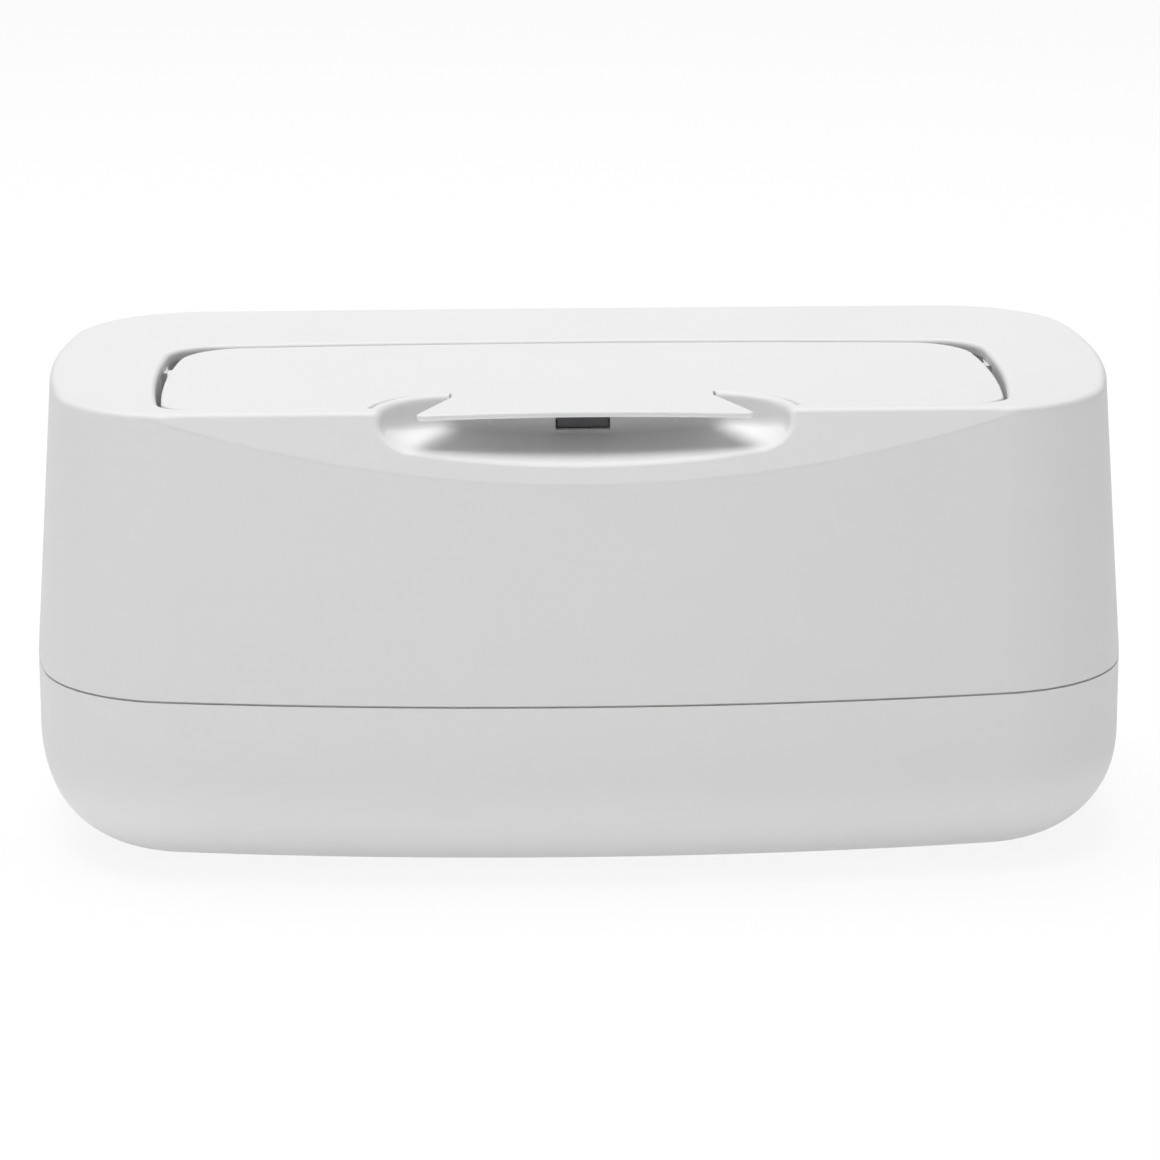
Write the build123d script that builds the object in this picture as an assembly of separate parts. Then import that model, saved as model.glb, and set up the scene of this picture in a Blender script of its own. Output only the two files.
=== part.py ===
from build123d import *
import math
import os

# Baby wipes box: a drafted upper housing that lifts off a rounded base tray, a lid in its top
# that is opened by a thin tongue over a finger recess, and a loose press plate on the wipes.
# Millimetres, +Z up, -Y is the front. The origin is on the table under the middle of the box.

# Outer form
BOX_LENGTH = 235.0
BOX_DEPTH = 123.0
BOX_HEIGHT = 99.0
SEAM_HEIGHT = 39.0
SEAM_GAP = 0.45
CORNER_RADIUS = 32.0
FRONT_BOW = 6.5
BACK_BOW = 0.5
END_BOW = 2.5
TOP_INSET = 4.2
BOTTOM_ROUND = 21.5
TOP_EDGE_ROUND = 1.6
HOUSING_WALL = 2.2
TRAY_WALL = 2.4

# Rim of the tray: a shelf under the housing and a spigot inside it
SHELF_WIDTH = 4.6
SHELF_DEPTH = 4.0
SPIGOT_HEIGHT = 5.0
SPIGOT_WALL = 1.3
SPIGOT_CLEARANCE = 0.25
SEAL_INSET = 0.9
SEAL_WIDTH = 1.0
SEAL_DEPTH = 1.0
SEAL_SQUEEZE_GAP = 0.1

# Feet and floor ribs of the tray
FOOT_RADIUS = 7.0
FOOT_THICKNESS = 1.4
FOOT_STAND = 0.6
FOOT_INSET = 5.0
RIB_HEIGHT = 3.0
RIB_WIDTH = 1.6
RIB_LENGTH = 66.0
RIB_PITCH = 40.0
RIB_COUNT = 4

# Sloping band along the upper front edge
CREST_SETBACK = 7.8
BAND_SLOPE = 1.58
CREST_ROUND = 1.6

# Finger recess cut into the band and the top
RECESS_DEPTH = 7.8
RECESS_HALF_WIDTH = 42.0
RECESS_BACK = 23.7
RECESS_CORNER = 15.5
RECESS_BLEND = 2.5
RECESS_FLOOR_FALL = 0.09
BOWL_HALF_WIDTH = 45.0
BOWL_SAG = 3.5
BOWL_CORNER = 11.0
RIB_LINE_X = 19.4
RIB_LINE_WIDTH = 1.0
RIB_LINE_REACH = 0.5

# Lid opening in the top
OPENING_END_MARGIN = 29.9
OPENING_SIDE_BOW = 2.3
OPENING_DEPTH = 61.9
OPENING_BACK_BOW = 3.0
OPENING_FRONT_RIM = 5.0
OPENING_BACK_CORNER = 10.0
OPENING_FRONT_CORNER = 7.0
OPENING_EDGE_ROUND = 1.2
RECESS_RIM = 3.0

# Lid
LID_SIDE_GAP = 0.4
LID_TAPER = 3.2
LID_BACK_GAP = 1.0
LID_FRONT_GAP = 0.6
LID_BACK_CORNER = 14.0
LID_RECESSED = 0.3
LID_THICKNESS = 5.5
LID_SKIN = 2.0
LID_EDGE_ROUND = 0.5
LINER_THICKNESS = 1.5
LINER_CLEARANCE = 0.15
LINER_POST_RADIUS = 2.5
LID_SEAL_WIDTH = 2.0
LID_SEAL_HEIGHT = 1.5
LID_SEAL_GAP = 0.15

# Tongue on the lid
TONGUE_ROOT_HALF_WIDTH = 27.5
TONGUE_TIP_HALF_WIDTH = 35.7
TONGUE_OVERHANG = 2.5
TONGUE_HOLLOW = 2.7
TONGUE_THICKNESS = 1.2
TONGUE_TIP_ROUND = 1.5
TONGUE_EDGE_ROUND = 0.5
TONGUE_CLEARANCE = 0.4

# Hinge
HINGE_SETBACK = 14.5
HINGE_DROP = 5.7
PIN_RADIUS = 1.5
PIN_LENGTH = 15.0
PIN_CHAMFER = 0.3
KNUCKLE_RADIUS = 3.1
KNUCKLE_LENGTH = 6.0
KNUCKLE_CLEARANCE = 0.05
BEARING_RADIUS = 3.4
BEARING_END_GAP = 1.1
BEARING_FIT = 0.02
BEARING_WEB_SETBACK = 1.0
KNUCKLE_NOTCH_CLEARANCE = 0.6

# Inner frame under the opening
FRAME_WALL = 1.6
WELL_SIDE_CLEARANCE = 0.3
WELL_SWING_CLEARANCE = 1.5
WELL_SWEEP_CLEARANCE = 0.8
FLANGE_WIDTH = 6.0
FLANGE_THICKNESS = 2.0
FLANGE_CLEARANCE = 0.2
OUTLET_END_MARGIN = 15.6
OUTLET_HINGE_MARGIN = 4.3
OUTLET_CORNER = 10.0
COLLAR_WALL = 1.6

# Screws, their bosses under the top and the frame's ears
SCREW_RADIUS = 1.25
SCREW_LENGTH = 10.0
SCREW_HEAD_RADIUS = 2.8
SCREW_HEAD_HEIGHT = 2.0
SCREW_CROSS_LENGTH = 3.2
SCREW_CROSS_WIDTH = 0.8
SCREW_CROSS_DEPTH = 0.8
SCREW_FIT = 0.05
SCREW_HOLE_CLEARANCE = 0.4
BOSS_RADIUS = 3.5
BOSS_LENGTH = 8.6
EAR_RADIUS = 4.6
EAR_THICKNESS = 2.0
EAR_OFFSET = 8.5
BACK_SCREW_PITCH = 44.0
BACK_SCREW_COUNT = 4
END_SCREW_MARGIN = 18.0

# Release button, guide, spring and latch legs behind the recess
SLOT_WIDTH = 11.4
SLOT_HEIGHT = 3.8
SLOT_SILL = 0.4
BUTTON_FIT = 0.3
BUTTON_TRAVEL = 1.6
BUTTON_SET_IN = 0.3
BUTTON_PLATE_WIDTH = 16.0
BUTTON_PLATE_HEIGHT = 5.0
BUTTON_PLATE_THICKNESS = 1.2
BUTTON_WALL_GAP = 0.25
GUIDE_WALL = 1.8
GUIDE_FIT = 0.2
SPRING_RADIUS = 1.9
SPRING_WIRE = 0.45
SPRING_TURNS = 3
LEG_WIDTH = 2.4
LEG_THICKNESS = 1.0
LEG_LENGTH = 5.2
LEG_GAP = 1.0
NOSE_REACH = 0.6
NOSE_HEIGHT = 1.2
LEDGE_REACH = 0.3

# Press plate
PLATE_END_GAP = 23.1
PLATE_SIDE_GAP = 18.1
PLATE_HEIGHT = 7.0
PLATE_CORNER = 22.0
PLATE_WALL = 1.6
PLATE_SLOT_LENGTH = 120.0
PLATE_SLOT_DEPTH = 34.0
COVER_CLEARANCE = 0.15
WEIGHT_THICKNESS = 2.5
WEIGHT_CLEARANCE = 0.8
INSERT_THICKNESS = 1.4
INSERT_SLOT_LENGTH = 92.0
INSERT_SLOT_DEPTH = 12.0
INSERT_CLEARANCE = 0.1

# Places that follow from the sizes above
CUT_OVER = 3.0
NEAR = 0.01
BAND_RUN = 1 / math.hypot(1, BAND_SLOPE)
BAND_FALL = BAND_SLOPE / math.hypot(1, BAND_SLOPE)
CREST_Y = -(BOX_DEPTH / 2 - TOP_INSET - CREST_SETBACK)
RECESS_FLOOR_Z = BOX_HEIGHT - RECESS_DEPTH
HOUSING_BOTTOM = SEAM_HEIGHT + SEAM_GAP / 2
TRAY_TOP = SEAM_HEIGHT - SEAM_GAP / 2
CEILING = BOX_HEIGHT - HOUSING_WALL
RECESS_BACK_Y = -(BOX_DEPTH / 2 - TOP_INSET - RECESS_BACK)
OPENING_HALF_LENGTH = BOX_LENGTH / 2 - OPENING_END_MARGIN
OPENING_FRONT_Y = CREST_Y + OPENING_FRONT_RIM
OPENING_BACK = OPENING_FRONT_Y + OPENING_DEPTH
LID_TOP = BOX_HEIGHT - LID_RECESSED
LID_BOTTOM = LID_TOP - LID_THICKNESS
HINGE_Z = LID_TOP - HINGE_DROP
LID_BACK_Y = OPENING_BACK + OPENING_BACK_BOW - LID_BACK_GAP
HINGE_Y = LID_BACK_Y - HINGE_SETBACK
LID_SWEEP = math.hypot(LID_BACK_Y - HINGE_Y, HINGE_DROP)
WELL_FLOOR = HINGE_Z - LID_SWEEP - WELL_SWEEP_CLEARANCE
RIM_BACK_Y = RECESS_BACK_Y + RECESS_RIM
LID_FRONT_Y = RIM_BACK_Y + LID_FRONT_GAP
LINER_FRONT_Y = LID_FRONT_Y + LID_SKIN + LINER_CLEARANCE
OUTLET_HALF_LENGTH = OPENING_HALF_LENGTH - OUTLET_END_MARGIN
OUTLET_BACK = HINGE_Y - OUTLET_HINGE_MARGIN
OUTLET_FRONT = LINER_FRONT_Y + LEG_THICKNESS + LEG_GAP + COLLAR_WALL
SEAL_BOTTOM = LID_BOTTOM - LID_SEAL_HEIGHT
COLLAR_TOP = SEAL_BOTTOM - LID_SEAL_GAP
TRAY_FLOOR = FOOT_STAND + TRAY_WALL
PLATE_BOTTOM = TRAY_FLOOR + RIB_HEIGHT
PLATE_LENGTH = BOX_LENGTH - 2 * (TRAY_WALL + PLATE_END_GAP)
PLATE_DEPTH = BOX_DEPTH - 2 * (TRAY_WALL + PLATE_SIDE_GAP)


def outline(inset):
    """Plan outline of the box at the seam, drawn in by inset on every side."""
    half_length = BOX_LENGTH / 2 - CORNER_RADIUS - END_BOW
    front = -(BOX_DEPTH / 2 - CORNER_RADIUS - FRONT_BOW)
    back = BOX_DEPTH / 2 - CORNER_RADIUS - BACK_BOW
    middle = (front + back) / 2
    sides = [
        ThreePointArc((-half_length, front), (0, front - FRONT_BOW), (half_length, front)),
        ThreePointArc((half_length, front), (half_length + END_BOW, middle), (half_length, back)),
        ThreePointArc((half_length, back), (0, back + BACK_BOW), (-half_length, back)),
        ThreePointArc((-half_length, back), (-half_length - END_BOW, middle), (-half_length, front)),
    ]
    return offset(make_face(sides), amount=CORNER_RADIUS - inset).face()


def lean(z):
    """How far the leaning wall of the housing has come in at height z."""
    return TOP_INSET * (z - SEAM_HEIGHT) / (BOX_HEIGHT - SEAM_HEIGHT)


def leaning_body(inset, bottom, top):
    """Solid body of the upper housing's form, drawn in by inset, between two heights."""
    low = Pos(0, 0, bottom) * outline(inset + lean(bottom))
    high = Pos(0, 0, top) * outline(inset + lean(top))
    return loft([low, high], ruled=True)


def upright_ring(outer_inset, inner_inset, bottom, top):
    """Upright ring that follows the outline of the box."""
    ring = outline(outer_inset) - outline(inner_inset)
    return extrude(Pos(0, 0, bottom) * ring, amount=top - bottom)


def block(x, y, z):
    """Box given by its low and high limits along each axis."""
    centre = Pos((x[0] + x[1]) / 2, (y[0] + y[1]) / 2, (z[0] + z[1]) / 2)
    return centre * Box(x[1] - x[0], y[1] - y[0], z[1] - z[0])


def slab(face, bottom, top):
    """Plan face made into a plate between two heights."""
    return extrude(Pos(0, 0, bottom) * face, amount=top - bottom)


def rounded_plan(half_length, front, back, radius):
    """Rounded rectangle in plan, centred on the Y axis."""
    corners = [(-half_length, front), (half_length, front), (half_length, back), (-half_length, back)]
    face = make_face(Polyline(*corners, close=True))
    return fillet(face.vertices(), radius)


def rod(x_from, x_to, y, z, radius):
    """Round bar that lies along X."""
    turned = Plane(origin=(x_from, y, z), z_dir=(1, 0, 0))
    return extrude(turned * Circle(radius), amount=x_to - x_from)


def post(x, y, bottom, top, radius):
    """Round post that stands along Z."""
    return slab(Pos(x, y) * Circle(radius), bottom, top)


def band_space(wall):
    """All the space in front of the sloping band, moved back by a wall's thickness."""
    start = CREST_Y + CUT_OVER / BAND_SLOPE + wall / BAND_FALL
    front = start - BOX_DEPTH
    region = Polyline((-BOX_LENGTH, start), (BOX_LENGTH, start), (BOX_LENGTH, front), (-BOX_LENGTH, front),
                      close=True)
    sheet = Pos(0, 0, BOX_HEIGHT + CUT_OVER) * make_face(region)
    return extrude(sheet, amount=BOX_HEIGHT, dir=(0, -BAND_RUN, -BAND_FALL))


def recess_plan(half_width, back, radius):
    """Plan of the finger recess at one height, open far out in front of the box."""
    front = -BOX_DEPTH
    corners = [(-half_width, front), (half_width, front), (half_width, back), (-half_width, back)]
    face = make_face(Polyline(*corners, close=True))
    return fillet(face.vertices().group_by(Axis.Y)[-1], radius)


def recess_bowl(grow):
    """Space with the recess's cambered floor and round lower corners, falling towards the front."""
    half = BOWL_HALF_WIDTH + grow
    start = RECESS_BACK_Y + RECESS_CORNER
    low = RECESS_FLOOR_Z - grow + (start - RECESS_BACK_Y) * RECESS_FLOOR_FALL
    top = BOX_HEIGHT + 2 * RECESS_CORNER
    edges = [
        ThreePointArc((-half, low + BOWL_SAG), (0, low), (half, low + BOWL_SAG)),
        Line((half, low + BOWL_SAG), (half, top)),
        Line((half, top), (-half, top)),
        Line((-half, top), (-half, low + BOWL_SAG)),
    ]
    face = make_face(edges)
    face = fillet(face.vertices().group_by(Axis.Y)[0], BOWL_CORNER + grow)
    across = Plane(origin=(0, start, 0), x_dir=(1, 0, 0), z_dir=(0, -1, 0))
    return extrude(across * face, amount=BOX_DEPTH, dir=(0, -1, -RECESS_FLOOR_FALL))


def recess_space(grow):
    """Space of the finger recess, grown by a wall's thickness on every side."""
    plan = recess_plan(RECESS_HALF_WIDTH + grow, RECESS_BACK_Y + grow, RECESS_CORNER + grow)
    return recess_bowl(grow) & slab(plan, 0, BOX_HEIGHT + CUT_OVER)


def opening_plan(side_gap, back_gap, front_gap, back_corner, front_corner, taper=0):
    """Plan of the lid opening, or of what lies in it with the given gaps and narrower at the back."""
    half = OPENING_HALF_LENGTH - side_gap
    narrow = half - taper
    back = OPENING_BACK - back_gap
    front = OPENING_FRONT_Y + front_gap
    middle = (front + back) / 2
    bulge = (half + narrow) / 2 + OPENING_SIDE_BOW
    edges = [
        Line((-half, front), (half, front)),
        ThreePointArc((half, front), (bulge, middle), (narrow, back)),
        ThreePointArc((narrow, back), (0, back + OPENING_BACK_BOW), (-narrow, back)),
        ThreePointArc((-narrow, back), (-bulge, middle), (-half, front)),
    ]
    face = make_face(edges)
    face = fillet(face.vertices().group_by(Axis.Y)[-1], back_corner)
    face = fillet(face.vertices().group_by(Axis.Y)[0], front_corner)
    rim = RECESS_RIM + front_gap
    return face - recess_plan(RECESS_HALF_WIDTH + rim, RECESS_BACK_Y + rim, RECESS_CORNER + rim)


def opening_face(grow):
    """Plan of the lid opening, grown outwards by the same amount all round."""
    return opening_plan(-grow, -grow, -grow, OPENING_BACK_CORNER + grow, OPENING_FRONT_CORNER + grow)


def lid_face(inset):
    """Plan of the lid without its tongue, drawn in by inset all round."""
    return opening_plan(LID_SIDE_GAP + inset, LID_BACK_GAP + inset, LID_FRONT_GAP + inset,
                        LID_BACK_CORNER - inset, OPENING_FRONT_CORNER - inset, LID_TAPER)


def well_face(grow):
    """Plan of the well under the opening, with room in front and behind for the lid's swing."""
    side = -WELL_SIDE_CLEARANCE - grow
    swing = -WELL_SWING_CLEARANCE - grow
    return opening_plan(side, swing, swing, OPENING_BACK_CORNER + grow, OPENING_FRONT_CORNER + grow)


def outlet_face(grow):
    """Plan of the wipes outlet in the inner frame."""
    return rounded_plan(OUTLET_HALF_LENGTH + grow, OUTLET_FRONT - grow, OUTLET_BACK + grow,
                        OUTLET_CORNER + grow)


def foot_places():
    """Centres of the four feet, inside the flat of the bottom."""
    x = BOX_LENGTH / 2 - CORNER_RADIUS - END_BOW - FOOT_INSET
    front = -(BOX_DEPTH / 2 - CORNER_RADIUS - FRONT_BOW)
    back = BOX_DEPTH / 2 - CORNER_RADIUS - BACK_BOW - FOOT_INSET
    return {
        "foot_front_left": (-x, front),
        "foot_front_right": (x, front),
        "foot_back_left": (-x, back),
        "foot_back_right": (x, back),
    }


def screw_places():
    """Screws in a row behind the lid opening and one beside each of its ends."""
    back = OPENING_BACK + OPENING_BACK_BOW + EAR_OFFSET
    side = OPENING_HALF_LENGTH + OPENING_SIDE_BOW + EAR_OFFSET
    first = -(BACK_SCREW_COUNT - 1) / 2 * BACK_SCREW_PITCH
    places = [(first + index * BACK_SCREW_PITCH, back) for index in range(BACK_SCREW_COUNT)]
    places.append((-side, OPENING_FRONT_Y + END_SCREW_MARGIN))
    places.append((side, OPENING_FRONT_Y + END_SCREW_MARGIN))
    return places


def mirrored(solid):
    """A solid with its mirror image on the other side of the middle."""
    return [solid, mirror(solid, Plane.YZ)]


def make_base_tray():
    """Lower shell with a rounded bottom, a shelf and spigot for the housing, and floor ribs."""
    outer = slab(outline(0), FOOT_STAND, TRAY_TOP)
    outer = fillet(outer.edges().group_by(Axis.Z)[0], BOTTOM_ROUND)
    inner = slab(outline(TRAY_WALL), TRAY_FLOOR, TRAY_TOP + CUT_OVER)
    inner = fillet(inner.edges().group_by(Axis.Z)[0], BOTTOM_ROUND - TRAY_WALL)
    tray = outer - inner
    tray += upright_ring(TRAY_WALL / 2, SHELF_WIDTH, TRAY_TOP - SHELF_DEPTH, TRAY_TOP)
    tray += upright_ring(spigot_inset(), spigot_inset() + SPIGOT_WALL, TRAY_TOP - SHELF_DEPTH,
                         TRAY_TOP + SPIGOT_HEIGHT)
    tray -= upright_ring(SEAL_INSET, SEAL_INSET + SEAL_WIDTH, TRAY_TOP - SEAL_DEPTH, TRAY_TOP + CUT_OVER)
    for index in range(RIB_COUNT):
        x = (index - (RIB_COUNT - 1) / 2) * RIB_PITCH
        half = RIB_WIDTH / 2
        tray += block((x - half, x + half), (-RIB_LENGTH / 2, RIB_LENGTH / 2),
                      (TRAY_FLOOR - TRAY_WALL / 2, PLATE_BOTTOM))
    for x, y in foot_places().values():
        tray -= post(x, y, FOOT_STAND - CUT_OVER, FOOT_THICKNESS, FOOT_RADIUS)
    return tray


def spigot_inset():
    """Inset of the spigot's outside, clear of the housing's leaning wall at the spigot's top."""
    return HOUSING_WALL + lean(TRAY_TOP + SPIGOT_HEIGHT) + SPIGOT_CLEARANCE


def make_base_seal():
    """Soft ring that lies in the groove of the tray's shelf."""
    return upright_ring(SEAL_INSET, SEAL_INSET + SEAL_WIDTH, TRAY_TOP - SEAL_DEPTH,
                        HOUSING_BOTTOM - SEAL_SQUEEZE_GAP)


def make_foot(x, y):
    """Round soft foot that fills its pocket in the tray and stands proud of it."""
    return post(x, y, 0, FOOT_THICKNESS, FOOT_RADIUS)


def band_and_rim_edges(form):
    """All the edges of the sloping band, and the top rim of the finger recess."""
    found = []
    for face in form.faces().filter_by(GeomType.PLANE):
        normal = face.normal_at()
        if abs(normal.Y + BAND_FALL) < NEAR and abs(normal.Z - BAND_RUN) < NEAR:
            found += face.edges()
    for edge in form.edges():
        middle = edge @ 0.5
        at_top = abs(middle.Z - BOX_HEIGHT) < NEAR
        if at_top and abs(middle.X) < RECESS_HALF_WIDTH and middle.Y < RECESS_BACK_Y + NEAR:
            found.append(edge)
    return found


def recess_seat(recess):
    """Edge between the floor of the recess and the wall behind it."""
    return recess.edges().filter_by(
        lambda e: (e @ 0.5).Y > RECESS_BACK_Y - NEAR and (e @ 0.5).Z < CEILING)


def make_housing_form():
    """Outside of the upper housing: leaning walls, sloping band and finger recess."""
    form = leaning_body(0, HOUSING_BOTTOM, BOX_HEIGHT)
    form = fillet(form.edges().group_by(Axis.Z)[-1], TOP_EDGE_ROUND)
    form -= band_space(0)
    recess = recess_space(0)
    form -= fillet(recess_seat(recess), RECESS_BLEND)
    return fillet(band_and_rim_edges(form), CREST_ROUND)


def make_housing_inside():
    """Hollow of the upper housing, one wall inside its outer form."""
    inside = leaning_body(HOUSING_WALL, HOUSING_BOTTOM - CUT_OVER, CEILING)
    inside -= band_space(HOUSING_WALL)
    return inside - recess_space(HOUSING_WALL)


def make_upper_housing(inside):
    """Upper shell with the lid opening, the button slot and six screw bosses."""
    shell = make_housing_form() - inside
    shell -= slab(opening_face(0), CEILING - CUT_OVER, BOX_HEIGHT + CUT_OVER)
    shell = fillet(opening_edges(shell), OPENING_EDGE_ROUND)
    for rib in mirrored(recess_rib()):
        shell += rib
    shell -= tongue_passage()
    shell -= button_slot()
    for x, y in screw_places():
        shell += post(x, y, CEILING - BOSS_LENGTH, CEILING + HOUSING_WALL / 2, BOSS_RADIUS)
        shell -= post(x, y, CEILING - BOSS_LENGTH - CUT_OVER, CEILING, SCREW_RADIUS + SCREW_FIT)
    return shell


def opening_edges(shell):
    """Edges of the lid opening in the face of the top."""
    rim = (Pos(0, 0, BOX_HEIGHT) * opening_face(0)).face().outer_wire()
    return [e for e in shell.edges() if rim.distance_to(Vertex(*(e @ 0.5))) < NEAR]


def tongue_passage():
    """Step in the wall behind the recess that the root of the tongue passes over."""
    half = TONGUE_ROOT_HALF_WIDTH + TONGUE_CLEARANCE
    floor = LID_TOP - TONGUE_THICKNESS - TONGUE_CLEARANCE
    return block((-half, half), (RECESS_BACK_Y - CUT_OVER, LID_FRONT_Y), (floor, BOX_HEIGHT + CUT_OVER))


def recess_rib():
    """Thin upright rib on the wall behind the recess, right of the button."""
    half = RIB_LINE_WIDTH / 2
    return block((RIB_LINE_X - half, RIB_LINE_X + half),
                 (RECESS_BACK_Y - RIB_LINE_REACH, RECESS_BACK_Y + HOUSING_WALL / 2),
                 (slot_bottom(), CEILING))


def slot_bottom():
    """Height of the lower edge of the button slot."""
    return RECESS_FLOOR_Z + SLOT_SILL


def button_slot():
    """Slot in the wall behind the recess for the release button."""
    return block((-SLOT_WIDTH / 2, SLOT_WIDTH / 2), (RECESS_BACK_Y - CUT_OVER, RIM_BACK_Y),
                 (slot_bottom(), slot_bottom() + SLOT_HEIGHT))


def button_wall_back():
    """Y of the back of the wall that the button passes through."""
    return RECESS_BACK_Y + HOUSING_WALL


def make_release_button():
    """Small slide: a nose in the slot, a stop plate behind the wall and a spring peg."""
    nose_bottom = slot_bottom() + BUTTON_FIT
    nose_top = slot_bottom() + SLOT_HEIGHT - BUTTON_FIT
    plate_front = button_wall_back() + BUTTON_WALL_GAP
    plate_back = plate_front + BUTTON_PLATE_THICKNESS
    half = SLOT_WIDTH / 2 - BUTTON_FIT
    nose_front = RECESS_BACK_Y + BUTTON_SET_IN
    nose_back = LID_FRONT_Y - BUTTON_TRAVEL - BUTTON_FIT
    button = block((-half, half), (nose_front, nose_back), (nose_bottom, nose_top))
    plate_top = button_plate_top()
    button += block((-half, half), (nose_front, plate_back), (nose_bottom, plate_top))
    button += block((-BUTTON_PLATE_WIDTH / 2, BUTTON_PLATE_WIDTH / 2), (plate_front, plate_back),
                    (plate_top - BUTTON_PLATE_HEIGHT, plate_top))
    peg = Plane(origin=(0, plate_back, spring_height()), z_dir=(0, 1, 0))
    peg_radius = SPRING_RADIUS - SPRING_WIRE - BUTTON_FIT / 2
    button += extrude(peg * Circle(peg_radius), amount=(guide_back() - plate_back - BUTTON_TRAVEL) / 2)
    return button


def button_plate_top():
    """Top of the button's stop plate, under the lid's skirt."""
    return LID_BOTTOM - BUTTON_FIT


def spring_height():
    """Height of the spring's axis, in the middle of the stop plate."""
    return button_plate_top() - BUTTON_PLATE_HEIGHT / 2


def guide_back():
    """Y of the wall that the spring pushes on."""
    return OUTLET_FRONT - COLLAR_WALL - GUIDE_WALL / 2


def make_button_spring():
    """Compression spring on the button's peg, from the stop plate to the guide's back wall."""
    front = button_wall_back() + BUTTON_WALL_GAP + BUTTON_PLATE_THICKNESS
    length = guide_back() - front - SPRING_WIRE
    radius = SPRING_RADIUS - SPRING_WIRE / 2
    coil = Helix(pitch=length / SPRING_TURNS, height=length, radius=radius)
    section = Plane(origin=coil @ 0, z_dir=coil % 0) * Circle(SPRING_WIRE / 2)
    spring = sweep(section, path=coil)
    return Pos(0, front + SPRING_WIRE / 2, spring_height()) * Rot(-90, 0, 0) * spring


def make_button_guide():
    """Channel that stands on the well floor and carries the button and its spring."""
    half = BUTTON_PLATE_WIDTH / 2 + GUIDE_FIT
    front = button_wall_back() + BUTTON_WALL_GAP
    back = OUTLET_FRONT - COLLAR_WALL - GUIDE_FIT
    top = button_plate_top()
    floor = top - BUTTON_PLATE_HEIGHT - GUIDE_FIT
    guide = block((-half - GUIDE_WALL, half + GUIDE_WALL), (front, back), (WELL_FLOOR, top))
    guide -= block((-half, half), (front - CUT_OVER, guide_back()), (floor, top + CUT_OVER))
    catch_z = leg_bottom() + NOSE_HEIGHT + NOSE_REACH
    for side in mirrored(block((half + GUIDE_WALL / 2, half + GUIDE_WALL + LEDGE_REACH),
                               (LINER_FRONT_Y, back), (catch_z, catch_z + NOSE_HEIGHT))):
        guide += side
    return guide


def leg_bottom():
    """Height of the lower end of the lid's latch legs."""
    return LID_BOTTOM - LEG_LENGTH


def leg_inner_x():
    """X of the inner face of a latch leg."""
    return BUTTON_PLATE_WIDTH / 2 + GUIDE_FIT + GUIDE_WALL + LEDGE_REACH + NOSE_REACH + GUIDE_FIT


def make_inner_frame(inside):
    """Well under the lid: flange, wall, floor, outlet collar, hinge bearings and screw ears."""
    well_inner = well_face(0)
    well_outer = well_face(FRAME_WALL)
    floor_bottom = WELL_FLOOR - FRAME_WALL
    flange_bottom = CEILING - FLANGE_THICKNESS
    frame = slab(well_outer, floor_bottom, CEILING) - slab(well_inner, WELL_FLOOR, CEILING + CUT_OVER)
    flange = opening_face(FLANGE_WIDTH) - well_inner
    frame += slab(flange, flange_bottom, CEILING)
    for x, y in screw_places():
        frame += screw_ear(x, y)
    for bearing in mirrored(make_bearing()):
        frame += bearing
    frame += slab(outlet_face(COLLAR_WALL), floor_bottom, COLLAR_TOP)
    frame -= slab(outlet_face(0), floor_bottom - CUT_OVER, COLLAR_TOP + CUT_OVER)
    frame = frame & Pos(0, 0, -FLANGE_CLEARANCE) * inside
    frame -= recess_space(RECESS_RIM + WELL_SWING_CLEARANCE)
    for x, y in screw_places():
        frame -= post(x, y, CEILING - BOSS_LENGTH, CEILING + CUT_OVER, BOSS_RADIUS + FLANGE_CLEARANCE)
        frame -= post(x, y, floor_bottom, CEILING, SCREW_RADIUS + SCREW_HOLE_CLEARANCE)
    pin_hole = rod(lid_side(HINGE_Y), BOX_LENGTH / 2, HINGE_Y, HINGE_Z, PIN_RADIUS + BEARING_FIT)
    for hole in mirrored(pin_hole):
        frame -= hole
    return frame


def screw_ear(x, y):
    """Ear on the well's wall that the screw pulls up against its boss."""
    top = CEILING - BOSS_LENGTH
    ear = Pos(x, y) * Circle(EAR_RADIUS)
    if abs(x) > OPENING_HALF_LENGTH:
        sign = math.copysign(1, x)
        reach = Pos(x - sign * EAR_OFFSET / 2, y) * Rectangle(EAR_OFFSET, 2 * EAR_RADIUS)
    else:
        reach = Pos(x, y - EAR_OFFSET / 2) * Rectangle(2 * EAR_RADIUS, EAR_OFFSET)
    ear = ear + reach - well_face(FRAME_WALL / 2)
    return slab(ear, top - EAR_THICKNESS, top)


def lid_side(y):
    """X of the side of the lid at a place along it, on its bow and its back corner."""
    back = OPENING_BACK - LID_BACK_GAP
    front = OPENING_FRONT_Y + LID_FRONT_GAP
    along = (y - front) / (back - front)
    bow = OPENING_SIDE_BOW * (1 - (2 * along - 1) ** 2)
    into_corner = max(y - (back - LID_BACK_CORNER), 0)
    corner_cut = LID_BACK_CORNER - math.sqrt(LID_BACK_CORNER ** 2 - into_corner ** 2)
    return OPENING_HALF_LENGTH - LID_SIDE_GAP - LID_TAPER * along + bow - corner_cut


def bearing_start():
    """X of the inner end of the right bearing, clear of the widest place of the lid beside it."""
    return lid_side(HINGE_Y - BEARING_RADIUS) + BEARING_END_GAP


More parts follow.
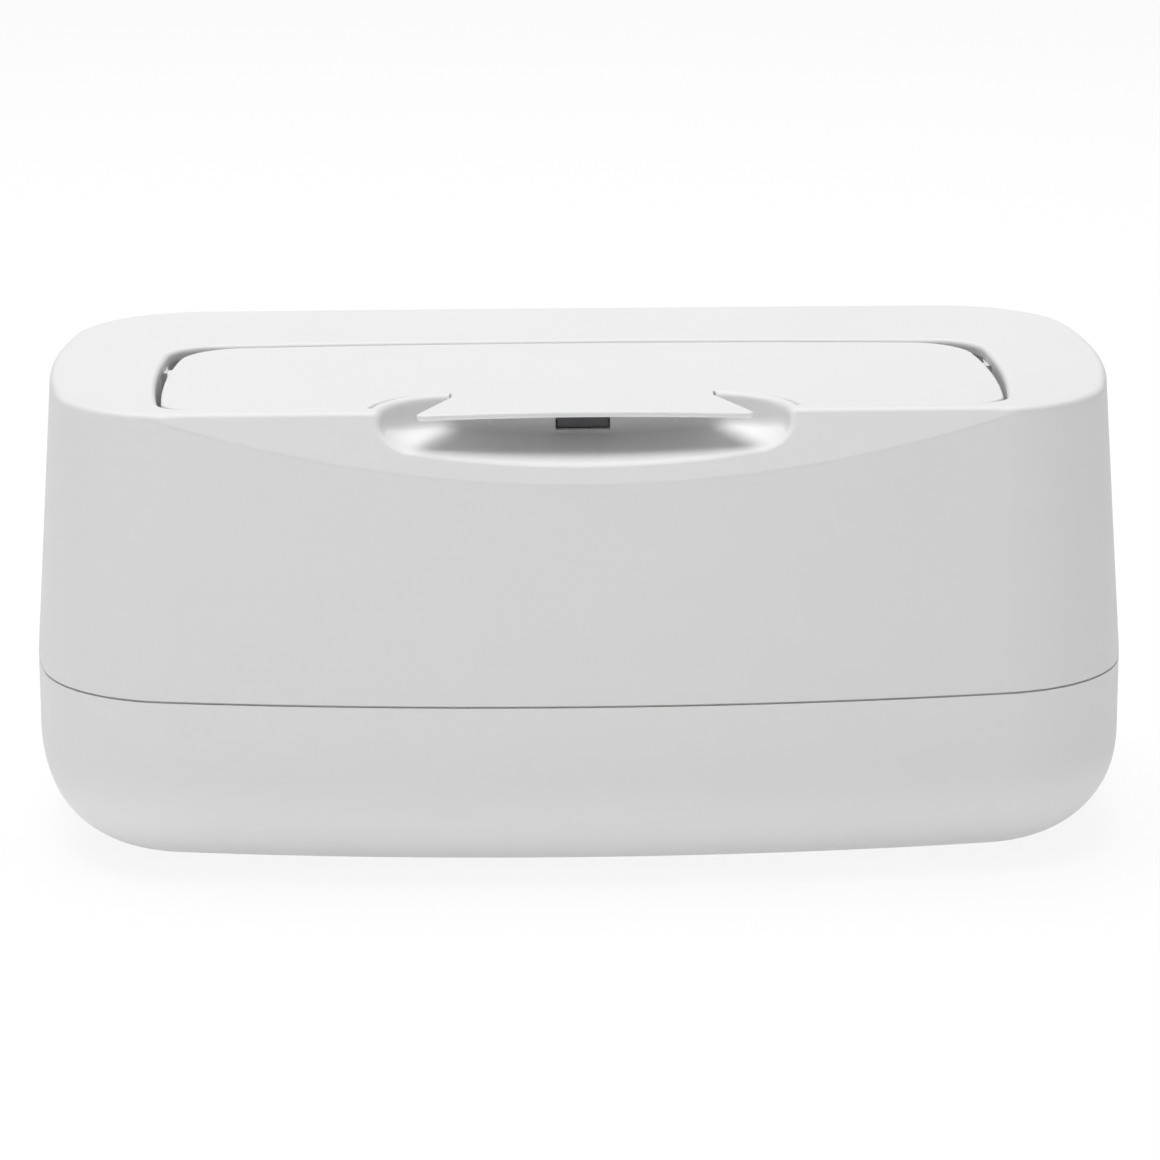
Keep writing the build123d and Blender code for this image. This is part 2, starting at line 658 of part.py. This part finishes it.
def make_bearing():
    """Right bearing boss for a hinge pin, on the side wall of the well."""
    start = bearing_start()
    boss = rod(start, start + FLANGE_WIDTH, HINGE_Y, HINGE_Z, BEARING_RADIUS)
    web = block((start + BEARING_WEB_SETBACK, start + FLANGE_WIDTH),
                (HINGE_Y - BEARING_RADIUS, HINGE_Y + BEARING_RADIUS), (HINGE_Z, CEILING))
    return boss + web


def make_hinge_pin():
    """Right steel pin, held in the frame's bearing and free in the lid's knuckle."""
    end = bearing_start() + FLANGE_WIDTH
    pin = rod(end - PIN_LENGTH, end, HINGE_Y, HINGE_Z, PIN_RADIUS)
    return chamfer(pin.edges(), PIN_CHAMFER)


def make_screws():
    """Six self-tapping screws, driven upwards through the ears into the bosses."""
    wide = SCREW_CROSS_LENGTH / 2
    narrow = SCREW_CROSS_WIDTH / 2
    cut_from = SCREW_HEAD_HEIGHT + CUT_OVER
    cut_to = SCREW_HEAD_HEIGHT - SCREW_CROSS_DEPTH
    screws = []
    for x, y in screw_places():
        seat = CEILING - BOSS_LENGTH - EAR_THICKNESS
        head = post(x, y, seat - SCREW_HEAD_HEIGHT, seat, SCREW_HEAD_RADIUS)
        head = fillet(head.edges().group_by(Axis.Z)[0], SCREW_HEAD_HEIGHT / 2)
        shank = post(x, y, seat - SCREW_HEAD_HEIGHT / 2, seat + SCREW_LENGTH, SCREW_RADIUS)
        screw = head + shank
        for across, along in ((wide, narrow), (narrow, wide)):
            screw -= block((x - across, x + across), (y - along, y + along),
                           (seat - cut_from, seat - cut_to))
        screws.append(screw)
    return screws


def tongue_face():
    """Plan of the tongue: flared sides and a hollow front edge."""
    tip = CREST_Y - TONGUE_OVERHANG
    root = LID_FRONT_Y + LID_SKIN
    wide = TONGUE_TIP_HALF_WIDTH
    narrow = TONGUE_ROOT_HALF_WIDTH
    edges = [
        ThreePointArc((-wide, tip), (0, tip + TONGUE_HOLLOW), (wide, tip)),
        Line((wide, tip), (narrow, RECESS_BACK_Y)),
        Line((narrow, RECESS_BACK_Y), (narrow, root)),
        Line((narrow, root), (-narrow, root)),
        Line((-narrow, root), (-narrow, RECESS_BACK_Y)),
        Line((-narrow, RECESS_BACK_Y), (-wide, tip)),
    ]
    face = make_face(edges)
    return fillet(face.vertices().group_by(Axis.Y)[0], TONGUE_TIP_ROUND)


def make_lid_panel():
    """Outer panel of the lid: a shallow shell with a thin tongue at the front."""
    panel = slab(lid_face(0), LID_BOTTOM, LID_TOP)
    panel += slab(tongue_face(), LID_TOP - TONGUE_THICKNESS, LID_TOP)
    panel = fillet(panel.edges().group_by(Axis.Z)[-1], LID_EDGE_ROUND)
    under = [e for e in panel.edges() if abs((e @ 0.5).Z - (LID_TOP - TONGUE_THICKNESS)) < NEAR
             and (e @ 0.5).Y < RECESS_BACK_Y]
    panel = fillet(under, TONGUE_EDGE_ROUND)
    panel -= slab(lid_face(LID_SKIN), LID_BOTTOM - CUT_OVER, LID_TOP - LID_SKIN)
    for notch in mirrored(knuckle_notch()):
        panel -= notch
    return panel


def knuckle_notch():
    """Cut in the lid's skirt that the right hinge pin passes through."""
    half = PIN_RADIUS + KNUCKLE_NOTCH_CLEARANCE
    side = lid_side(HINGE_Y)
    return block((side - 2 * LID_SKIN, side + LID_SKIN), (HINGE_Y - half, HINGE_Y + half),
                 (LID_BOTTOM - CUT_OVER, HINGE_Z + half))


def make_lid_liner():
    """Inner panel of the lid with glue posts, hinge knuckles and latch legs."""
    liner = slab(lid_face(LID_SKIN + LINER_CLEARANCE), LID_BOTTOM, LID_BOTTOM + LINER_THICKNESS)
    post_x = OUTLET_HALF_LENGTH - 2 * OUTLET_CORNER
    for x in (-post_x, 0, post_x):
        liner += post(x, HINGE_Y / 2, LID_BOTTOM, LID_TOP - LID_SKIN, LINER_POST_RADIUS)
        liner += post(x, OUTLET_FRONT + OUTLET_CORNER, LID_BOTTOM, LID_TOP - LID_SKIN, LINER_POST_RADIUS)
    for piece in mirrored(make_knuckle()) + mirrored(make_latch_leg()):
        liner += piece
    knuckle_end = lid_side(HINGE_Y)
    hole = rod(OUTLET_HALF_LENGTH + COLLAR_WALL, knuckle_end, HINGE_Y, HINGE_Z,
               PIN_RADIUS + KNUCKLE_CLEARANCE)
    for side in mirrored(hole):
        liner -= side
    return liner


def make_knuckle():
    """Right hinge knuckle, on the liner just inside the lid's skirt."""
    end = lid_side(HINGE_Y + KNUCKLE_RADIUS) - LID_SKIN - LINER_CLEARANCE
    return rod(end - KNUCKLE_LENGTH, end, HINGE_Y, HINGE_Z, KNUCKLE_RADIUS)


def make_latch_leg():
    """Right latch leg, with a small nose that points to the middle."""
    inner = leg_inner_x()
    back = LINER_FRONT_Y + LEG_THICKNESS
    leg = block((inner, inner + LEG_WIDTH), (LINER_FRONT_Y, back), (leg_bottom(), LID_BOTTOM))
    nose = block((inner - NOSE_REACH, inner + LEG_WIDTH / 2), (LINER_FRONT_Y, back),
                 (leg_bottom(), leg_bottom() + NOSE_HEIGHT))
    return leg + nose


def make_lid_seal():
    """Soft ring under the liner that lands on the outlet collar."""
    middle = COLLAR_WALL / 2
    ring = outlet_face(middle + LID_SEAL_WIDTH / 2) - outlet_face(middle - LID_SEAL_WIDTH / 2)
    return slab(ring, SEAL_BOTTOM, LID_BOTTOM)


def plate_face(grow):
    """Plan of the press plate."""
    return rounded_plan(PLATE_LENGTH / 2 + grow, -PLATE_DEPTH / 2 - grow, PLATE_DEPTH / 2 + grow,
                        PLATE_CORNER + grow)


def slot_face(length, depth):
    """Plan of a slot with round ends, in the middle of the press plate."""
    return rounded_plan(length / 2, -depth / 2, depth / 2, depth / 2 - NEAR)


def make_plate_shell():
    """Lower half of the press plate: a shallow tray with a collar round its slot."""
    top = PLATE_BOTTOM + PLATE_HEIGHT
    shell = slab(plate_face(0), PLATE_BOTTOM, top)
    shell = fillet(shell.edges().group_by(Axis.Z)[0], PLATE_WALL)
    shell -= slab(plate_face(-PLATE_WALL), PLATE_BOTTOM + PLATE_WALL, top + CUT_OVER)
    shell += slab(slot_face(PLATE_SLOT_LENGTH + 2 * PLATE_WALL, PLATE_SLOT_DEPTH + 2 * PLATE_WALL),
                  PLATE_BOTTOM + PLATE_WALL / 2, top - PLATE_WALL)
    slot = slot_face(PLATE_SLOT_LENGTH, PLATE_SLOT_DEPTH)
    return shell - slab(slot, PLATE_BOTTOM - CUT_OVER, top + CUT_OVER)


def make_plate_cover():
    """Upper half of the press plate, let into the shell's rim over the weight."""
    top = PLATE_BOTTOM + PLATE_HEIGHT
    cover = plate_face(-PLATE_WALL - COVER_CLEARANCE) - slot_face(PLATE_SLOT_LENGTH, PLATE_SLOT_DEPTH)
    return slab(cover, top - PLATE_WALL, top)


def make_plate_weight():
    """Steel ring that gives the press plate its weight."""
    outer = plate_face(-PLATE_WALL - WEIGHT_CLEARANCE)
    around = 2 * (PLATE_WALL + WEIGHT_CLEARANCE)
    inner = slot_face(PLATE_SLOT_LENGTH + around, PLATE_SLOT_DEPTH + around)
    bottom = PLATE_BOTTOM + PLATE_WALL
    return slab(outer - inner, bottom, bottom + WEIGHT_THICKNESS)


def make_plate_outlet():
    """Soft insert in the slot of the press plate, with the narrow slot that grips a wipe."""
    gap = 2 * INSERT_CLEARANCE
    outer = slot_face(PLATE_SLOT_LENGTH - gap, PLATE_SLOT_DEPTH - gap)
    inner = slot_face(INSERT_SLOT_LENGTH, INSERT_SLOT_DEPTH)
    middle = PLATE_BOTTOM + PLATE_HEIGHT / 2
    return slab(outer - inner, middle - INSERT_THICKNESS / 2, middle + INSERT_THICKNESS / 2)


def make_nodes():
    """All the pieces by name."""
    inside = make_housing_inside()
    pins = mirrored(make_hinge_pin())
    nodes = {
        "base_tray": make_base_tray(),
        "base_seal": make_base_seal(),
        "upper_housing": make_upper_housing(inside),
        "inner_frame": make_inner_frame(inside),
        "frame_screws": Compound(children=make_screws()),
        "hinge_pin_right": pins[0],
        "hinge_pin_left": pins[1],
        "button_guide": make_button_guide(),
        "button_spring": make_button_spring(),
        "release_button": make_release_button(),
        "lid_panel": make_lid_panel(),
        "lid_liner": make_lid_liner(),
        "lid_seal": make_lid_seal(),
        "plate_shell": make_plate_shell(),
        "plate_cover": make_plate_cover(),
        "plate_weight": make_plate_weight(),
        "plate_outlet": make_plate_outlet(),
    }
    for name, (x, y) in foot_places().items():
        nodes[name] = make_foot(x, y)
    return nodes


os.makedirs("parts", exist_ok=True)
for name, shape in make_nodes().items():
    export_step(shape, f"parts/{name}.step")
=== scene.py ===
import math

import bpy
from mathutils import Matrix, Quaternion, Vector

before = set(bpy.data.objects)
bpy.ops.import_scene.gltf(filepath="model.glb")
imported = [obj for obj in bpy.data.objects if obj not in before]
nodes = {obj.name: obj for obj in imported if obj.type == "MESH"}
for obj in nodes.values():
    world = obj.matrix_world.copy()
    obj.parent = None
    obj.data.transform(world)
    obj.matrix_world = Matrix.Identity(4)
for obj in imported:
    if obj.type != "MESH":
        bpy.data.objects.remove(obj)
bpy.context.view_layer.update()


# Camera
# The picture was taken with a long lens from above the front edge of the lid, almost square to
# the front wall. Distances are in metres, angles in radians, lens and sensor in millimetres.
CAMERA_DISTANCE = 1.04353
CAMERA_ELEVATION = 0.2585
CAMERA_TURN = 0.0302
CAMERA_ROLL = -0.0026
CAMERA_LENS = 148.35
SENSOR_WIDTH = 36.0
CAMERA_TARGET = Vector((0.0, 0.0, 0.0495))
PICTURE_SHIFT = (1.66 / 1160, 1.96 / 1160)

bpy.context.scene.view_settings.view_transform = "Standard"
camera_data = bpy.data.cameras.new("camera")
camera_data.lens = CAMERA_LENS
camera_data.sensor_width = SENSOR_WIDTH
camera_data.shift_x, camera_data.shift_y = PICTURE_SHIFT
camera = bpy.data.objects.new("camera", camera_data)
bpy.context.scene.collection.objects.link(camera)
towards_camera = Vector((
    -math.cos(CAMERA_ELEVATION) * math.sin(CAMERA_TURN),
    -math.cos(CAMERA_ELEVATION) * math.cos(CAMERA_TURN),
    math.sin(CAMERA_ELEVATION),
))
camera.location = CAMERA_TARGET + CAMERA_DISTANCE * towards_camera
looking = (-towards_camera).to_track_quat("-Z", "Y")
rolled = looking @ Quaternion((0, 0, 1), CAMERA_ROLL)
camera.rotation_euler = rolled.to_euler()
bpy.context.scene.camera = camera


# Floor and backdrop
# A pale table that gives off a little light of its own, which reaches the walls and the rounded
# bottom. Seen directly or in a reflection it is mostly plain white, so that only a trace of the
# object's shadow shows on it.
WHITE = (1, 1, 1, 1)
PLAIN_WHITE_LIGHT = 1.0
FLOOR_SIZE = 12.0
FLOOR_COLOUR = (0.86, 0.86, 0.86, 1)
TABLE_LIGHT = 0.19
WHITE_SHARE = 0.82

bpy.ops.mesh.primitive_plane_add(size=FLOOR_SIZE, location=(0, 0, 0))
floor = bpy.context.object
floor.name = "floor"
lit_table = bpy.data.materials.new("lit_table")
lit_table.use_nodes = True
tree = lit_table.node_tree
tree.nodes.clear()
output = tree.nodes.new("ShaderNodeOutputMaterial")
matt = tree.nodes.new("ShaderNodeBsdfDiffuse")
matt.inputs["Color"].default_value = FLOOR_COLOUR
glow = tree.nodes.new("ShaderNodeEmission")
glow.inputs["Color"].default_value = WHITE
glow.inputs["Strength"].default_value = TABLE_LIGHT
lit = tree.nodes.new("ShaderNodeAddShader")
plain = tree.nodes.new("ShaderNodeEmission")
plain.inputs["Color"].default_value = WHITE
plain.inputs["Strength"].default_value = PLAIN_WHITE_LIGHT
path = tree.nodes.new("ShaderNodeLightPath")
seen = tree.nodes.new("ShaderNodeMath")
seen.operation = "MAXIMUM"
share = tree.nodes.new("ShaderNodeMath")
share.operation = "MULTIPLY"
share.inputs[1].default_value = WHITE_SHARE
mix = tree.nodes.new("ShaderNodeMixShader")
tree.links.new(path.outputs["Is Camera Ray"], seen.inputs[0])
tree.links.new(path.outputs["Is Glossy Ray"], seen.inputs[1])
tree.links.new(seen.outputs[0], share.inputs[0])
tree.links.new(share.outputs[0], mix.inputs["Fac"])
tree.links.new(matt.outputs[0], lit.inputs[0])
tree.links.new(glow.outputs[0], lit.inputs[1])
tree.links.new(lit.outputs[0], mix.inputs[1])
tree.links.new(plain.outputs[0], mix.inputs[2])
tree.links.new(mix.outputs[0], output.inputs["Surface"])
floor.data.materials.append(lit_table)


# Studio light
# A broad key lamp overhead, a little behind and to the left, makes the top the brightest face.
# A low card in front, turned upwards, grazes the front wall. The room round them is dim, and
# dimmer at the horizon than overhead, so that the finger recess stays dark under the tongue.
# The camera itself sees the room as plain white. Powers are in watts.
CEILING_LIGHT = 0.36
HORIZON_LIGHT = 0.15
KEY_POWER = 21.2
KEY_SIZE = 1.3
KEY_PLACE = Vector((-0.12, 0.25, 1.5))
KEY_AIM = Vector((0.0, 0.0, 0.0))
CARD_POWER = 1.0
CARD_LENGTH = 1.2
CARD_DEPTH = 0.3
CARD_PLACE = Vector((-0.1, -0.45, 0.06))
CARD_AIM = Vector((-0.02, -0.15, 0.7))

world = bpy.data.worlds.new("studio")
bpy.context.scene.world = world
world.use_nodes = True
tree = world.node_tree
tree.nodes.clear()
output = tree.nodes.new("ShaderNodeOutputWorld")
direction = tree.nodes.new("ShaderNodeTexCoord")
split = tree.nodes.new("ShaderNodeSeparateXYZ")
height = tree.nodes.new("ShaderNodeMapRange")
height.inputs["To Min"].default_value = HORIZON_LIGHT
height.inputs["To Max"].default_value = CEILING_LIGHT
room = tree.nodes.new("ShaderNodeBackground")
room.inputs["Color"].default_value = WHITE
backdrop = tree.nodes.new("ShaderNodeBackground")
backdrop.inputs["Color"].default_value = WHITE
backdrop.inputs["Strength"].default_value = PLAIN_WHITE_LIGHT
path = tree.nodes.new("ShaderNodeLightPath")
mix = tree.nodes.new("ShaderNodeMixShader")
tree.links.new(direction.outputs["Generated"], split.inputs["Vector"])
tree.links.new(split.outputs["Z"], height.inputs["Value"])
tree.links.new(height.outputs["Result"], room.inputs["Strength"])
tree.links.new(path.outputs["Is Camera Ray"], mix.inputs["Fac"])
tree.links.new(room.outputs[0], mix.inputs[1])
tree.links.new(backdrop.outputs[0], mix.inputs[2])
tree.links.new(mix.outputs[0], output.inputs["Surface"])


def area_lamp(name, power, place, aim):
    """Data of a new area lamp that faces its aim. The caller sets its shape and size."""
    data = bpy.data.lights.new(name, "AREA")
    data.energy = power
    lamp = bpy.data.objects.new(name, data)
    bpy.context.scene.collection.objects.link(lamp)
    lamp.location = place
    lamp.rotation_euler = (aim - place).to_track_quat("-Z", "Y").to_euler()
    return data


key = area_lamp("key_lamp", KEY_POWER, KEY_PLACE, KEY_AIM)
key.shape = "SQUARE"
key.size = KEY_SIZE

card = area_lamp("front_card", CARD_POWER, CARD_PLACE, CARD_AIM)
card.shape = "RECTANGLE"
card.size = CARD_LENGTH
card.size_y = CARD_DEPTH


# Outer shell
# Base tray, upper housing and lid panel are injection moulded in one white polypropylene.
# The mould leaves a fine satin grain and a trace of uneven sheen, as on all moulded pieces here.
# Scales count pattern cells to a metre. Relief is the height of the grain in metres at full
# strength, and detail is how many finer layers the noise has.
SHELL_WHITE = (0.84, 0.84, 0.84, 1)
SHELL_NODES = ("base_tray", "upper_housing", "lid_panel")
RELIEF_HEIGHT = 0.00005
CLOUD_DETAIL = 2.0
GRAIN_DETAIL = 3.0
SURFACE_OUTPUTS = (
    ("Colour", "NodeSocketColor"),
    ("Roughness", "NodeSocketFloat"),
    ("Height", "NodeSocketFloat"),
)


def surface_group(name, inputs):
    """Empty shader node group with the given inputs that ends in Colour, Roughness and Height."""
    group = bpy.data.node_groups.new(name, "ShaderNodeTree")
    for label, kind, value in inputs:
        socket = group.interface.new_socket(name=label, in_out="INPUT", socket_type=kind)
        socket.default_value = value
    for label, kind in SURFACE_OUTPUTS:
        group.interface.new_socket(name=label, in_out="OUTPUT", socket_type=kind)
    return group, group.nodes.new("NodeGroupInput"), group.nodes.new("NodeGroupOutput")


def varied(group, pattern, amount, middle):
    """Socket that swings round a middle value by an amount, following a pattern from 0 to 1."""
    centred = group.nodes.new("ShaderNodeMath")
    centred.operation = "SUBTRACT"
    centred.inputs[1].default_value = 0.5
    swing = group.nodes.new("ShaderNodeMath")
    swing.operation = "MULTIPLY_ADD"
    group.links.new(pattern, centred.inputs[0])
    group.links.new(centred.outputs[0], swing.inputs[0])
    group.links.new(amount, swing.inputs[1])
    if isinstance(middle, float):
        swing.inputs[2].default_value = middle
    else:
        group.links.new(middle, swing.inputs[2])
    return swing.outputs[0]


def noise(group, vector, scale, detail):
    """Noise pattern whose scale comes from a socket of the group."""
    pattern = group.nodes.new("ShaderNodeTexNoise")
    pattern.inputs["Detail"].default_value = detail
    group.links.new(vector, pattern.inputs["Vector"])
    group.links.new(scale, pattern.inputs["Scale"])
    return pattern.outputs["Fac"]


def shaded(group, colour, value):
    """Colour made lighter or darker by a value round 1."""
    shade = group.nodes.new("ShaderNodeHueSaturation")
    group.links.new(colour, shade.inputs["Color"])
    group.links.new(value, shade.inputs["Value"])
    return shade.outputs["Color"]


moulded_skin, given, made = surface_group("moulded_skin", (
    ("Colour", "NodeSocketColor", SHELL_WHITE),
    ("Roughness", "NodeSocketFloat", 0.45),
    ("Grain Scale", "NodeSocketFloat", 1800.0),
    ("Cloud Scale", "NodeSocketFloat", 24.0),
    ("Mottle", "NodeSocketFloat", 0.02),
    ("Sheen Change", "NodeSocketFloat", 0.1),
))
place = moulded_skin.nodes.new("ShaderNodeTexCoord").outputs["Object"]
cloud = noise(moulded_skin, place, given.outputs["Cloud Scale"], CLOUD_DETAIL)
lightness = varied(moulded_skin, cloud, given.outputs["Mottle"], 1.0)
mottled = shaded(moulded_skin, given.outputs["Colour"], lightness)
sheen = varied(moulded_skin, cloud, given.outputs["Sheen Change"], given.outputs["Roughness"])
grain = noise(moulded_skin, place, given.outputs["Grain Scale"], GRAIN_DETAIL)
moulded_skin.links.new(mottled, made.inputs["Colour"])
moulded_skin.links.new(sheen, made.inputs["Roughness"])
moulded_skin.links.new(grain, made.inputs["Height"])


def surfaced(name, group, values, relief, metallic=0.0):
    """Material that takes colour, roughness and fine relief from a shared surface group."""
    material = bpy.data.materials.new(name)
    material.use_nodes = True
    tree = material.node_tree
    shader = tree.nodes["Principled BSDF"]
    shader.inputs["Metallic"].default_value = metallic
    surface = tree.nodes.new("ShaderNodeGroup")
    surface.node_tree = group
    for label, value in values.items():
        surface.inputs[label].default_value = value
    bump = tree.nodes.new("ShaderNodeBump")
    bump.inputs["Strength"].default_value = relief
    bump.inputs["Distance"].default_value = RELIEF_HEIGHT
    tree.links.new(surface.outputs["Colour"], shader.inputs["Base Color"])
    tree.links.new(surface.outputs["Roughness"], shader.inputs["Roughness"])
    tree.links.new(surface.outputs["Height"], bump.inputs["Height"])
    tree.links.new(bump.outputs["Normal"], shader.inputs["Normal"])
    return material


def cover(names, material):
    """Put a material on every slot of the named pieces."""
    for name in names:
        for slot in nodes[name].material_slots:
            slot.material = material


cover(SHELL_NODES, surfaced("shell_white_satin", moulded_skin, {
    "Colour": SHELL_WHITE,
    "Roughness": 0.54,
    "Grain Scale": 1800.0,
    "Cloud Scale": 24.0,
    "Mottle": 0.012,
    "Sheen Change": 0.08,
}, 0.25))


# Inner frame, lid liner and button guide
# Inside pieces from an unpolished mould: duller than the shell, with coarser grain and soft
# clouds where the plastic flowed.
cover(("inner_frame", "lid_liner", "button_guide"), surfaced("frame_white_dull", moulded_skin, {
    "Colour": (0.79, 0.79, 0.785, 1),
    "Roughness": 0.55,
    "Grain Scale": 1100.0,
    "Cloud Scale": 45.0,
    "Mottle": 0.05,
    "Sheen Change": 0.22,
}, 0.4))


# Press plate
# The two halves of the press plate are a slightly warmer white with a smooth, even sheen.
cover(("plate_shell", "plate_cover"), surfaced("plate_white_satin", moulded_skin, {
    "Colour": (0.81, 0.81, 0.795, 1),
    "Roughness": 0.38,
    "Grain Scale": 2400.0,
    "Cloud Scale": 30.0,
    "Mottle": 0.02,
    "Sheen Change": 0.1,
}, 0.18))


# Release button
# The small slide under the tongue is dark grey, with a strong grain that gives a finger grip.
cover(("release_button",), surfaced("button_grey", moulded_skin, {
    "Colour": (0.13, 0.135, 0.14, 1),
    "Roughness": 0.5,
    "Grain Scale": 1500.0,
    "Cloud Scale": 200.0,
    "Mottle": 0.1,
    "Sheen Change": 0.12,
}, 0.5))


# Seals
# The rings in the tray's rim and under the lid are soft milky rubber, matt and faintly dusty.
cover(("base_seal", "lid_seal"), surfaced("seal_milky", moulded_skin, {
    "Colour": (0.7, 0.7, 0.685, 1),
    "Roughness": 0.68,
    "Grain Scale": 900.0,
    "Cloud Scale": 90.0,
    "Mottle": 0.08,
    "Sheen Change": 0.2,
}, 0.45))


# Outlet insert
# The soft insert in the press plate is pale grey rubber with a fine even grain.
cover(("plate_outlet",), surfaced("outlet_pale_grey", moulded_skin, {
    "Colour": (0.62, 0.63, 0.63, 1),
    "Roughness": 0.62,
    "Grain Scale": 1400.0,
    "Cloud Scale": 60.0,
    "Mottle": 0.06,
    "Sheen Change": 0.16,
}, 0.35))


# Feet
# Four grey rubber discs. They are the dullest pieces, with scuffed, cloudy undersides.
FOOT_NODES = ("foot_front_left", "foot_front_right", "foot_back_left", "foot_back_right")

cover(FOOT_NODES, surfaced("foot_grey", moulded_skin, {
    "Colour": (0.36, 0.36, 0.36, 1),
    "Roughness": 0.78,
    "Grain Scale": 700.0,
    "Cloud Scale": 260.0,
    "Mottle": 0.22,
    "Sheen Change": 0.2,
}, 0.7))


# Screws and hinge pins
# Zinc plated screws and bright ground pins. All metal here has fine lines from how it was
# worked, drawn out along one direction where the stretch says so, and broad stains in its colour.
LINE_DETAIL = 4.0
STAIN_DETAIL = 2.0

worked_metal, given, made = surface_group("worked_metal", (
    ("Colour", "NodeSocketColor", (0.62, 0.62, 0.6, 1)),
    ("Roughness", "NodeSocketFloat", 0.35),
    ("Line Scale", "NodeSocketFloat", 900.0),
    ("Line Stretch", "NodeSocketVector", (1.0, 1.0, 1.0)),
    ("Stain Scale", "NodeSocketFloat", 120.0),
    ("Stain", "NodeSocketFloat", 0.1),
    ("Roughness Change", "NodeSocketFloat", 0.2),
))
place = worked_metal.nodes.new("ShaderNodeTexCoord").outputs["Object"]
drawn = worked_metal.nodes.new("ShaderNodeVectorMath")
drawn.operation = "MULTIPLY"
worked_metal.links.new(place, drawn.inputs[0])
worked_metal.links.new(given.outputs["Line Stretch"], drawn.inputs[1])
lines = noise(worked_metal, drawn.outputs[0], given.outputs["Line Scale"], LINE_DETAIL)
stains = noise(worked_metal, place, given.outputs["Stain Scale"], STAIN_DETAIL)
lightness = varied(worked_metal, stains, given.outputs["Stain"], 1.0)
stained = shaded(worked_metal, given.outputs["Colour"], lightness)
dulled = varied(worked_metal, lines, given.outputs["Roughness Change"], given.outputs["Roughness"])
worked_metal.links.new(stained, made.inputs["Colour"])
worked_metal.links.new(dulled, made.inputs["Roughness"])
worked_metal.links.new(lines, made.inputs["Height"])

cover(("frame_screws",), surfaced("screw_zinc", worked_metal, {
    "Colour": (0.62, 0.63, 0.6, 1),
    "Roughness": 0.36,
    "Line Scale": 1400.0,
    "Line Stretch": (1.0, 1.0, 1.0),
    "Stain Scale": 300.0,
    "Stain": 0.24,
    "Roughness Change": 0.24,
}, 0.3, metallic=1.0))

cover(("hinge_pin_left", "hinge_pin_right"), surfaced("pin_ground", worked_metal, {
    "Colour": (0.68, 0.68, 0.68, 1),
    "Roughness": 0.22,
    "Line Scale": 2600.0,
    "Line Stretch": (1.0, 0.08, 0.08),
    "Stain Scale": 200.0,
    "Stain": 0.06,
    "Roughness Change": 0.14,
}, 0.2, metallic=1.0))


# Button spring
# Bright drawn wire, with the lines of the die faintly along it.
cover(("button_spring",), surfaced("spring_wire", worked_metal, {
    "Colour": (0.58, 0.58, 0.58, 1),
    "Roughness": 0.28,
    "Line Scale": 5000.0,
    "Line Stretch": (0.3, 1.0, 0.3),
    "Stain Scale": 500.0,
    "Stain": 0.1,
    "Roughness Change": 0.16,
}, 0.2, metallic=1.0))


# Press plate weight
# Blanked steel sheet with a thin film of oil: rolling lines along its length and broad stains.
cover(("plate_weight",), surfaced("weight_rolled", worked_metal, {
    "Colour": (0.48, 0.475, 0.46, 1),
    "Roughness": 0.4,
    "Line Scale": 1200.0,
    "Line Stretch": (0.04, 1.0, 1.0),
    "Stain Scale": 35.0,
    "Stain": 0.3,
    "Roughness Change": 0.3,
}, 0.3, metallic=1.0))
